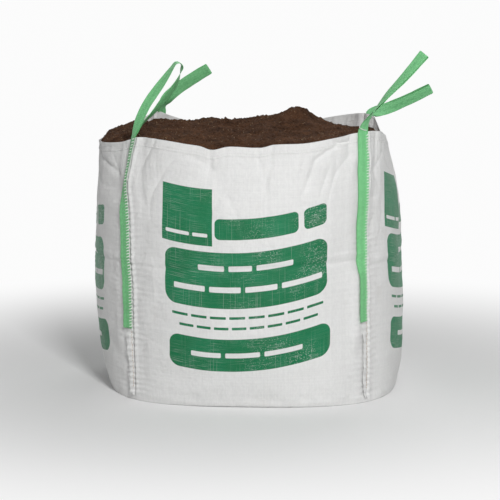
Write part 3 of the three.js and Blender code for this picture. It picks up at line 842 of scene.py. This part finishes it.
def compost_finish():
    """Dark and light brown by noise, dull, with a grainy bump."""
    finish = Finish("moist_compost")
    patch = finish.noise(14.0, detail=4.0, rough=0.6)
    grain = finish.noise(150.0, detail=5.0, rough=0.7)
    speck = finish.noise(330.0, detail=2.0, rough=0.5)
    # The grain noise is also the bump, so low grains, the pores, get near-black painted shade. The
    # patches are real damp.
    tone = finish.rise(0.30, 0.72, 0.45 * patch + 0.55 * grain)
    colour = finish.mix(tone, DAMP_AND_PORE_SHADE, DRY)
    colour = finish.mix(finish.rise(0.68, 0.76, speck) * 0.45, colour, SPECKS)
    gloss = {"Roughness": 0.94, "Specular_IOR_Level": 0.12}
    return finish.surface(colour, grain + 0.5 * speck, depth=0.006, **gloss)


def plain_finish(name, size, dark, light, grain, depth, roughness):
    """Two colours mixed by noise, with a fine bump."""
    finish = Finish(name)
    colour = finish.mix(finish.noise(size), dark, light)
    return finish.surface(colour, finish.noise(grain), depth, Roughness=roughness)


compost_paint = compost_finish()
fibre_paint = plain_finish("pale_fibres", 90.0, BARK, STRAW, 600.0, 0.0006, 0.85)
for piece, paint in ((compost, compost_paint), (crumbs, compost_paint), (fibres, fibre_paint)):
    dress(piece, paint)
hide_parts("compost_fill")

# %% [markdown]
# ## The four side panels
# Each panel is one cut of cloth. It starts as a lip under the bag, turns up round the foot,
# climbs to the hem and ends at the rim. Its columns lie closer together near the seams,
# where the folds are small. A Solidify modifier gives the cloth its thickness inwards.

# %% Side panels
COLUMNS, PANEL_ROWS = 188, 196
CROWDING, CLIMB_POWER = 0.055, 1.12
LIP_ROWS = -LIP * np.array([[1.0], [0.9], [0.5], [0.2]])
HEM_ROWS = np.array([[0.0335], [0.0322], [0.0309], [0.0285], [0.0265], [0.0245],
                     [0.021], [0.016], [0.011], [0.006], [0.002], [0.0]])
UNDER_HEM, PANEL_LIFT = 0.0045, 0.0004
MAP_RADIUS, MAP_START, OFF_THE_PRINT = 0.600, 1.0, -0.1
spread = np.linspace(0, 1, COLUMNS)
spread = spread - CROWDING * np.sin(2 * np.pi * spread)
climb = np.linspace(0, 1, PANEL_ROWS)[:, None] ** CLIMB_POWER


def side_grid(middle):
    """Points of one panel: a flat lip, then rows up to just under the hem, then rows that
    step over the hem's edge and on to the rim."""
    deg = middle - 45 + 90 * spread[None, :]
    height = rim_height(deg)
    up_the_wall = climb * (1 - (HEM + UNDER_HEM) / height)
    share = np.concatenate([0 * LIP_ROWS * deg, up_the_wall, 1 - HEM_ROWS / height])
    deg = np.broadcast_to(deg, share.shape)
    out = relief(deg, share)
    out[:len(LIP_ROWS)] = LIP_ROWS
    points = skin(deg, share, out)
    points[..., 2] += PANEL_LIFT
    return deg, share, points


def side_panel(side, middle):
    """One panel with the maps of its weave and its print. The print's rows slope and sag."""
    deg, share, points = side_grid(middle)
    along = running_length(points[:, COLUMNS // 2])[:, None]
    round_it = np.radians(deg - middle) * MAP_RADIUS + MAP_START
    woven = np.stack(np.broadcast_arrays(round_it, along), axis=-1)
    _, _, across, up = side_place(deg, share)
    level = up - PRINT_SLOPE[side] * across - PRINT_SAG * across**2
    level[:len(LIP_ROWS)] = OFF_THE_PRINT
    drawn = np.stack([across, level], axis=-1)
    panel = grid_piece(side + "_cloth", points, {"weave": woven, "design": drawn})
    thicken(panel, CLOTH)
    dress(panel, printed_cloth)
    print_nodes = [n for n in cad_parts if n.startswith(side + "_print")]
    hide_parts(side + "_panel", *print_nodes)
    return panel


panels = {side: side_panel(side, middle) for side, middle in SIDES.items()}
print("one panel has", len(panels["front"].data.polygons), "quads")

# %% [markdown]
# ## The base panel
# The bag stands on its base panel. Only its edge can be seen, from below, so a ring grid of
# plain cloth is enough, closed by a fan in the middle. It is flat there and climbs onto the
# lips of the panels.

# %% Base panel
BASE_COLUMNS = 160
BASE_INSETS = (0.040, 0.052, 0.060, 0.0663, 0.072, 0.0785, 0.12, 0.20, 0.32, 0.45, 0.50)
BASE_LIFT, BASE_CLIMB, BASE_CLIMB_AT = 0.0006, 0.0030, (0.0785, 0.0663)
BASE_RIPPLES = (0.0002, 0.05, 71)
base_in = np.array(BASE_INSETS)[:, None]
base_points = skin(np.linspace(0, 360, BASE_COLUMNS, endpoint=False)[None, :], 0.0, -base_in)
base_points[..., 2] = BASE_LIFT + BASE_CLIMB * step(*BASE_CLIMB_AT, base_in)
base_points[..., 2] += rippled(BASE_RIPPLES, base_points)
woven = np.concatenate([base_points, base_points[:, :1]], axis=1)[..., :2] + MAP_START
base = grid_piece("base_cloth", base_points, {"weave": woven}, wrap=True, ends=(-1,))
thicken(base, CLOTH)
dress(base, plain_cloth)
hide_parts("base_panel")
print("base panel spans", round(float(np.ptp(base_points[..., 0])), 3), "m")

# %% [markdown]
# ## Seam allowances
# Two panels meet at a corner with their cut edges on the outside. The edges lie over on one
# side of the seam as a loose, wavy band, which the webbing covers in the upper part.

# %% Seam allowance bands
BAND, BAND_THICK, BAND_GAP = 0.026, 0.0009, 0.0011
BAND_RAGGED = ((0.0022, 0.05), (0.0009, 0.011))
BAND_WAVE, BAND_CURL = 0.055, 0.0025
BAND_LOW_END, LOOSE_BELOW = (0.02, 0.10), (0.262, 0.235)
BAND_SHARES, BAND_COLUMNS = np.linspace(0.018, 0.985, 300), 12


def seam_band(name, corner, seed):
    """A strip clockwise of the seam. It stands off the cloth by a little under the webbing,
    and waves in and out by a few millimetres below it."""
    share, across = np.meshgrid(BAND_SHARES, np.linspace(0, 1, BAND_COLUMNS), indexing="ij")
    up = share * rim_height(np.array(corner))
    line = np.stack([0 * up, 0 * up, up], axis=-1)
    ragged = sum(rippled((*kind, seed + k), line) for k, kind in enumerate(BAND_RAGGED))
    wide = (BAND + ragged) * (0.75 + 0.25 * step(*BAND_LOW_END, up))
    deg = corner - turn_for(0.0005 + across * wide)
    loose = step(*LOOSE_BELOW, up)
    wave = np.stack([0.3 * across, 0 * up, up], axis=-1)
    wave = 0.5 + 0.5 * ripples(wave, BAND_WAVE, seed + 2)
    lift = BAND_GAP + loose * across * (0.0035 + 0.0075 * np.abs(wave))
    curl = loose * BAND_CURL * np.sin(np.pi * across) * (0.6 + 0.4 * wave)
    points = skin(deg, share, relief(deg, share) + lift + curl)
    woven = np.stack([across * BAND, up], axis=-1) + MAP_START
    band = grid_piece(name, points[:, ::-1], {"weave": woven[:, ::-1]})
    thicken(band, BAND_THICK, offset=0)
    return dress(band, plain_cloth)


bands = {name: seam_band(name + "_seam", corner, 80 + corner) for name, corner in CORNERS.items()}
print("seam bands:", len(bands))

# %% [markdown]
# ## Webbing
# Each lifting loop is one flat strap, sewn up the corner with one leg over the other, and
# free above the rim. A strap could be a flattened curve, but its twist would be hard to
# hold. Here a rounded flat section is carried along a path that says, at every step, where
# the middle is, which way the width points and which way the face looks.

# %% [markdown]
# A loop's middle line runs through places given in millimetres from where its legs leave the
# rim. At each place a turn in degrees, from edge-on to face-on, and the gap between the two
# strands in millimetres are given. A strand may be twisted further by degrees of its own.

# %% Paths of the four loops
WIDE, THICK = 0.044, 0.0017
LEG_GAP, LEG_LIFT, LEG_COLUMNS = 0.0006, 0.0028, 9
INNER_END, OUTER_END = 0.480, 0.268
INNER_ROWS, OUTER_ROWS, FREE_STEPS, BEND_STEPS = 110, 150, 54, 16
FLUTTER, FLUTTER_TURN = 0.0012, 2.3
LOOPS = {
    "front_left": {
        "at": [(17, -10, 32), (38, -14, 70), (70, -16, 114), (104, -16, 160), (142, -16, 212),
               (166, -14, 258)],
        "turn": [4, 6, 8, 12, 16, 18], "apart": [8, 20, 34, 42, 42, 30],
        "inner": [-4, -14, -26, -38, -32, 0], "outer": [36, 44, 42, 34, 18, 0]},
    "front_right": {
        "at": [(8, 2, 28), (26, 4, 56), (52, 4, 90), (86, 4, 132), (132, 6, 180), (182, 8, 238),
               (214, 10, 276)],
        "turn": [150, 168, 184, 200, 210, 220, 228], "apart": [2, 2, 2, 3, 3, 4, 7],
        "sewn_higher": 0.032},
    "back_right": {
        "at": [(14, 8, 8), (46, 12, 16), (92, 12, 32), (140, 8, 54), (186, 6, 76), (238, 4, 102)],
        "turn": [-130, -96, -72, -62, -58, -58], "apart": [5, 9, 12, 13, 12, 10]},
    "back_left": {
        "at": [(4, -10, 26), (20, -16, 54), (52, -20, 84), (94, -22, 116), (140, -22, 146),
               (190, -22, 176)],
        "turn": [-30, -58, -80, -76, -72, -70], "apart": [4, 9, 15, 18, 16, 11]},
}


def unit(v):
    """Vectors of length 1."""
    return v / np.linalg.norm(v, axis=-1, keepdims=True)


def even(values):
    """Running mean over seven neighbours."""
    return np.convolve(np.pad(values, 3, mode="edge"), np.ones(7) / 7, mode="valid")


def leg_path(corner, end, layer, rows):
    """A leg from its sewn end up to the rim. Across the strap it takes the level and the
    lean of the relief, and is raised until it clears all of it, the seam band and the leg
    below."""
    share = np.linspace(end / rim_height(np.array(corner)), 1.0, rows)[:, None]
    place = np.linspace(-0.5, 0.5, LEG_COLUMNS)
    deg = corner - turn_for((place + 0.5) * WIDE)[None, :]
    deg, share = np.broadcast_arrays(deg, share)
    high = relief(deg, share)
    level = high.mean(axis=1)
    lean = even(high @ place / (place @ place))
    over = (high - level[:, None] - lean[:, None] * place).max(axis=1)
    level = even(level + np.maximum(over, even(over)))
    lack = (high - level[:, None] - lean[:, None] * place).max(axis=1)
    level = level + np.maximum(lack, 0) + LEG_LIFT + layer * (THICK + LEG_GAP) + THICK / 2
    seam_side = skin(deg[:, 0], share[:, 0], level - lean / 2)
    free_side = skin(deg[:, -1], share[:, -1], level + lean / 2)
    middle = (seam_side + free_side) / 2
    width = unit(seam_side - free_side)
    upwards = unit(np.gradient(middle, axis=0))
    return middle, width, unit(np.cross(width, upwards))


def free_path(loop, start, width0):
    """The free loop: two strands beside one middle line, joined by a half round bend. The
    width turns about the line, from edge-on to face-on."""
    knots = len(loop["at"])
    u = np.arange(1, FREE_STEPS + 1) / FREE_STEPS * knots
    line_knots = np.vstack([[0, 0, 0], np.array(loop["at"]) / 1000]) + start

    def along(values, first, at):
        return smooth_through(list(enumerate([first] + list(values))), at)

    def middle_at(at):
        return np.stack([along(line_knots[1:, k], line_knots[0, k], at) for k in range(3)], axis=-1)

    first = math.degrees(math.atan2(width0[0], -width0[1]))
    first += 360 * round((loop["turn"][0] - first) / 360)

    def facing(at, extra):
        ahead = unit(middle_at(np.minimum(at + 0.01, knots)) - middle_at(at - 0.01))
        depth = unit(np.array([0.0, -1.0, 0.0]) + ahead * ahead[:, 1:2])
        level = np.cross(ahead, depth)
        angle = np.radians(along(loop["turn"], first, at) + extra)[:, None]
        width = depth * np.cos(angle) + level * np.sin(angle)
        return ahead, width, np.cross(width, ahead)

    apart = along(np.array(loop["apart"]) / 1000 + THICK, LEG_GAP + THICK, u)[:, None]
    normal = facing(u, 0 * u)[2]
    strands = []
    for sign, own_twist in ((-1, "inner"), (1, "outer")):
        twist = along(loop.get(own_twist, [0] * knots), 0, u)
        flutter = FLUTTER * np.sin(u * FLUTTER_TURN + sign) * np.sin(np.pi * u / knots)
        middle = middle_at(u) + normal * (sign * apart / 2 + flutter[:, None])
        _, width, face = facing(u, twist)
        strands.append((middle, width, sign * face))
    tip = np.array([float(knots)])
    ahead, width, normal = facing(tip, 0.0)
    angle = (np.pi * np.arange(1, BEND_STEPS + 1) / (BEND_STEPS + 1))[:, None]
    out = -normal * np.cos(angle) + ahead * np.sin(angle)
    bend = (middle_at(tip) + out * apart[-1] / 2, np.repeat(width, BEND_STEPS, 0), out)
    return strands[0], bend, [part[::-1] for part in strands[1]]


def outer_leg(name):
    """The outer leg, and the height of its sewn end."""
    end = OUTER_END + LOOPS[name].get("sewn_higher", 0.0)
    return leg_path(CORNERS[name], end, 1, OUTER_ROWS), end


def loop_path(name):
    """Middle, width and face of one whole strap: up the inner leg, round, and down."""
    inner = leg_path(CORNERS[name], INNER_END, 0, INNER_ROWS)
    outer, _ = outer_leg(name)
    start = (inner[0][-1] + outer[0][-1]) / 2
    up, bend, back = free_path(LOOPS[name], start, inner[1][-1])
    parts = [(inner[0], inner[1], -inner[2]), up, bend, back, [p[::-1] for p in outer]]
    return [np.concatenate([part[k] for part in parts]) for k in range(3)]


paths = {name: loop_path(name) for name in LOOPS}
print("metres of strap:", {name: round(running_length(p[0])[-1], 2) for name, p in paths.items()})

# %% Section of the strap
ROUND = 26
EDGE_POWER, FACE_POWER = 0.28, 0.5
FREE_FROM, FREE_TO = (0.50, 0.56), (0.70, 0.76)
HOLLOW, HOLLOW_WAVE = 0.0016, 0.09
EDGE_WAVES = ((0.012, 0.021, 0), (0.010, 0.0083, 1))


def strap(name):
    """A flat section with rounded edges, carried along the path: width/2 * |cos|^0.28 across
    and thickness/2 * |sin|^0.5 through it, with a slight hollow across the free loop."""
    middle, width, face = paths[name]
    angle = np.linspace(0, 2 * np.pi, ROUND, endpoint=False)
    c, s = np.cos(angle), np.sin(angle)
    across = np.sign(c) * np.abs(c) ** EDGE_POWER * WIDE / 2
    through = np.sign(s) * np.abs(s) ** FACE_POWER * THICK / 2
    along = running_length(middle)
    free = step(*FREE_FROM, along) * step(*[along[-1] - end for end in FREE_TO], along)
    edge = 1 + sum(size * np.sin(along / wave + phase) for size, wave, phase in EDGE_WAVES)
    arch = HOLLOW * free * np.sin(along / HOLLOW_WAVE)
    hollow = arch[:, None] * (1 - (across / (WIDE / 2)) ** 2)[None, :]
    points = (middle[:, None] + width[:, None] * (across[None, :] * edge[:, None])[..., None]
              + face[:, None] * (through[None, :] + hollow)[..., None])
    far = np.append(across, across[0])[None, :]
    woven = np.stack(np.broadcast_arrays(far, along[:, None]), axis=-1) + MAP_START
    return points, woven


def volume(points):
    """Signed volume of a wrapped grid, positive where its faces look outwards."""
    a, b = points[:-1], np.roll(points, -1, axis=1)[:-1]
    c = points[1:]
    return float(np.einsum("ijk,ijk->", a, np.cross(b, c)))

# %% [markdown]
# The webbing is woven too: fine cords run along it and a weft crosses them, so its face is
# ribbed. Its green is lighter on the ribs as a painted highlight, and palest in cloudy patches
# of painted highlight.


# %% Webbing finish
CORD, PICK, TWILL = 0.0022, 0.0026, 0.0095
DEEP_GREEN, LIGHT_GREEN = (0.050, 0.300, 0.098, 1), (0.235, 0.640, 0.285, 1)
# The palest green is a painted highlight colour.
HIGHLIGHT_GREEN = (0.40, 0.74, 0.42, 1)


def webbing_finish():
    """Ribs along and across the strap, with each cord its own shade of green."""
    finish = Finish("green_webbing")
    across, along = finish.place("weave")
    cord = across / CORD
    number = finish.math("FLOOR", cord)
    odd = finish.math("MODULO", number, 2.0)
    ribs = finish.ridges(cord) ** 0.6
    picks = finish.ridges(along / PICK + 0.5 * odd) ** 0.7
    height = 0.6 * ribs + 0.4 * picks
    tone = finish.by_number(number)
    cloudy = finish.noise(9.0)
    twill = finish.ridges((across + along) / TWILL)
    fluff = finish.rise(0.35, 0.65, finish.noise(150.0, detail=2.0))
    # The height term lightens the raised ribs as a painted highlight. Tone, cloudy, twill and fluff
    # are the strap's own variation.
    light = 0.30 * tone + 0.30 * cloudy + 0.15 * height + 0.22 * twill + 0.26 * fluff
    colour = finish.mix(light, DEEP_GREEN, LIGHT_GREEN)
    # Cloudy patches get the pale green of a painted highlight.
    colour = finish.mix(finish.rise(0.62, 0.80, cloudy) * 0.35, colour, HIGHLIGHT_GREEN)
    return finish.surface(colour, height, depth=0.0005, Roughness=0.46 + 0.2 * tone)


webbing = webbing_finish()
for name in LOOPS:
    points, woven = strap(name)
    if volume(points) < 0:
        points, woven = points[:, ::-1], woven[:, ::-1]
    piece = grid_piece(name + "_webbing", points, {"weave": woven}, wrap=True, ends=(0, -1))
    dress(piece, webbing)
    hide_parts(name + "_loop")
    print(piece.name, "has", len(piece.data.polygons), "faces")

# %% [markdown]
# ## Stitches
# Thick thread holds the straps, hems and seam bands. A stitch is the same small tube many
# times over, so it gets only a few faces: six sides and four steps.


# %% Stitch maker
STITCH_SIDES = 6
TAPER = np.array([0.45, 1, 1, 1, 0.45])


def stitches(name, starts, ends, outward, rise, thick, thread):
    """One arched tube for each pair of points: straight from start to end, lifted along
    outward by rise * sin, in one of the three threads."""
    steps = np.linspace(0, 1, len(TAPER))
    way = ends - starts
    line = starts[:, None] + way[:, None] * steps[None, :, None]
    line = line + outward[:, None] * (rise * np.sin(np.pi * steps))[None, :, None]
    side = unit(np.cross(way, outward))
    up = unit(np.cross(side, way))
    turn = np.linspace(0, 2 * np.pi, STITCH_SIDES, endpoint=False)[None, None, :, None]
    section = side[:, None, None] * np.cos(turn) + up[:, None, None] * np.sin(turn)
    points = line[:, :, None] + section * (thick / 2 * TAPER)[None, :, None, None]
    count, rings, sides = points.shape[:3]
    index = np.arange(rings * sides).reshape(rings, sides)
    first = rings * sides * np.arange(count)[:, None]
    tube = quads(np.concatenate([index, index[:, :1]], axis=1))
    tubes = (first[:, None] + tube[None]).reshape(-1, 4).tolist()
    caps = (first + index[0, ::-1][None]).tolist() + (first + index[-1][None]).tolist()
    mesh = bpy.data.meshes.new(name)
    mesh.from_pydata(points.reshape(-1, 3).tolist(), [], tubes + caps)
    return dress(finished(name, mesh), THREADS[thread])


THREADS = {
    "pale": ((0.62, 0.76, 0.62, 1), (0.86, 0.90, 0.85, 1)),
    "white": ((0.62, 0.62, 0.60, 1), (0.80, 0.80, 0.78, 1)),
    "tan": ((0.30, 0.17, 0.07, 1), (0.52, 0.34, 0.18, 1)),
}
for name, colours in THREADS.items():
    THREADS[name] = plain_finish(name + "_thread", 120.0, *colours, 900.0, 0.0002, 0.6)
print("threads:", list(THREADS))


# %% Rows of stitches
TOOTH_PITCH, TOOTH_IN, TOOTH_OUT, TOOTH_DROP = 0.0106, 0.0100, 0.0050, 0.004
HEM_PITCH, HEM_STITCH = 0.0085, 0.0058
BAND_PITCH, BAND_STITCH, BAND_LIFT = 0.0095, 0.0065, 0.0042
STRAP_PLACE, STRAP_HALF = 0.020, 0.026
WOUND_ABOVE, WOUND_PARTS, WOUND_WIDE, WOUND_DEEP, WOUND_TILT = 3, 14, 0.53 * WIDE, 0.0042, 0.006


def cloth_point(deg, up, lift):
    """Point on the relief of the cloth, at a height, with its outward direction."""
    share = up / rim_height(deg)
    out = unit(skin(deg, share, 0.01) - skin(deg, share, 0.0))
    return skin(deg, share, relief(deg, share) + lift), out


def hem_stitches():
    """A row of short level stitches along the hem, all round but for the straps."""
    deg = np.arange(0, 360, turn_for(HEM_PITCH))
    deg = deg[np.abs(from_seam(deg) + STRAP_PLACE) > STRAP_HALF]
    a, out = cloth_point(deg, rim_height(deg) - HEM_SEWN_AT, 0.0)
    end = deg + turn_for(HEM_STITCH)
    b, _ = cloth_point(end, rim_height(end) - HEM_SEWN_AT, 0.0)
    return stitches("hem_stitches", a, b, out, 0.0009, 0.0013, "white")


def edge_stitches(name):
    """Pale stitches over the seam edge of the strap's outer leg, one every TOOTH_PITCH."""
    leg, _ = outer_leg(name)
    heights = leg[0][:, 2]
    up = np.arange(heights[0] + 0.006, heights[-1] - 0.004, TOOTH_PITCH)
    middle, width, face = [
        np.stack([np.interp(up, heights, part[:, k]) for k in range(3)], axis=-1) for part in leg]
    over = face * (THICK / 2 + 0.0006)
    a = middle + width * (WIDE / 2 - TOOTH_IN) + over
    b = middle + width * (WIDE / 2 + TOOTH_OUT) - over + (0, 0, TOOTH_DROP)
    return stitches(name + "_edge_stitches", a, b, face, 0.0026, 0.0042, "pale")


def band_stitches(name):
    """Tan chain stitches down the seam band, below the strap."""
    _, end = outer_leg(name)
    up = np.arange(0.05, end - 0.012, BAND_PITCH)
    deg = np.full(len(up), CORNERS[name] - turn_for(0.0035))
    a, out = cloth_point(deg, up, BAND_LIFT)
    b, _ = cloth_point(deg, up + BAND_STITCH, BAND_LIFT)
    return stitches(name + "_band_stitches", a, b, out, 0.0010, 0.0014, "tan")


def wound_thread():
    """White thread wound once round the front right strap, just above the rim: short
    lengths between points on an ellipse about the strap."""
    middle, width, face = [part[INNER_ROWS + WOUND_ABOVE] for part in paths["front_right"]]
    turn = np.linspace(0, 2 * np.pi, WOUND_PARTS + 1)[:, None]
    tilt = np.array([0.0, 0.0, WOUND_TILT]) * np.sin(turn)
    ring = middle + width * WOUND_WIDE * np.cos(turn) + face * WOUND_DEEP * np.sin(turn) + tilt
    outward = unit(ring - middle)[:-1]
    return stitches("wound_thread", ring[:-1], ring[1:], outward, 0.0003, 0.0034, "white")


sewn = [hem_stitches(), wound_thread()]
for name in CORNERS:
    sewn += [edge_stitches(name), band_stitches(name)]
print("stitch pieces:", len(sewn), "faces:", sum(len(p.data.polygons) for p in sewn))

# %% [markdown]
# ## Studio
# A pale floor, a lamp high at the front right, a weaker one at the left and one behind give
# the bag the light it has outdoors, without glare. Away from the bag the floor turns into
# plain white where it is seen, but not where it lights the bag, so it meets the background
# with no line.


# %% Floor
FLOOR_HALF, FLOOR_FADE = 40, (0.75, 2.6)


def floor_finish():
    """Pale floor near the bag, white to the camera further out."""
    finish = Finish("pale_floor")
    at = finish.node("TexCoord", output=3)
    x, y = [finish.node("SeparateXYZ", inputs={0: at}, output=k) for k in (0, 1)]
    radius = finish.math("SQRT", x * x + y * y)
    near = finish.node("BsdfDiffuse", inputs={"Color": (0.86, 0.86, 0.86, 1)})
    white = finish.node("Emission", inputs={"Color": (1, 1, 1, 1), "Strength": 0.97})
    dim = finish.node("BsdfDiffuse", inputs={"Color": (0.70, 0.70, 0.70, 1)})
    far = finish.node("MixShader", inputs={0: finish.seen(), 1: dim, 2: white})
    outer = finish.rise(*FLOOR_FADE, radius)
    both = finish.node("MixShader", inputs={0: outer, 1: near, 2: far})
    finish.node("OutputMaterial", inputs={"Surface": both})
    return finish.material


corners = [[(x, y, 0) for x in (-FLOOR_HALF, FLOOR_HALF)] for y in (-FLOOR_HALF, FLOOR_HALF)]
floor = grid_piece("studio_floor", np.array(corners, float))
floor.data.materials.append(floor_finish())


# %% Lamps and background
LIT = Vector((0, 0, 0.5))
SKY, SKY_SEEN = 0.245, 0.97


def lamp(name, place, size, power):
    """A square area lamp that looks at the bag's middle."""
    light = bpy.data.lights.new(name, "AREA")
    light.size, light.energy = size, power
    made = bpy.data.objects.new(name, light)
    made.location = place
    made.rotation_euler = (Vector(place) - LIT).to_track_quat("Z", "Y").to_euler()
    bpy.context.scene.collection.objects.link(made)


lamp("key", (1.5, -5.9, 4.0), 1.1, 312)
lamp("fill", (-4.5, -4.0, 2.2), 3.0, 8)
lamp("back", (1.0, 4.5, 4.5), 3.0, 70)

world = bpy.data.worlds.new("studio")
world.use_nodes = True
bpy.context.scene.world = world
air = Finish("air", world)
strength = SKY + (SKY_SEEN - SKY) * air.seen()
sky = air.node("Background", inputs={"Color": (1, 1, 1, 1), "Strength": strength})
air.node("OutputWorld", inputs={"Surface": sky})
bpy.context.scene.view_settings.view_transform = "Standard"
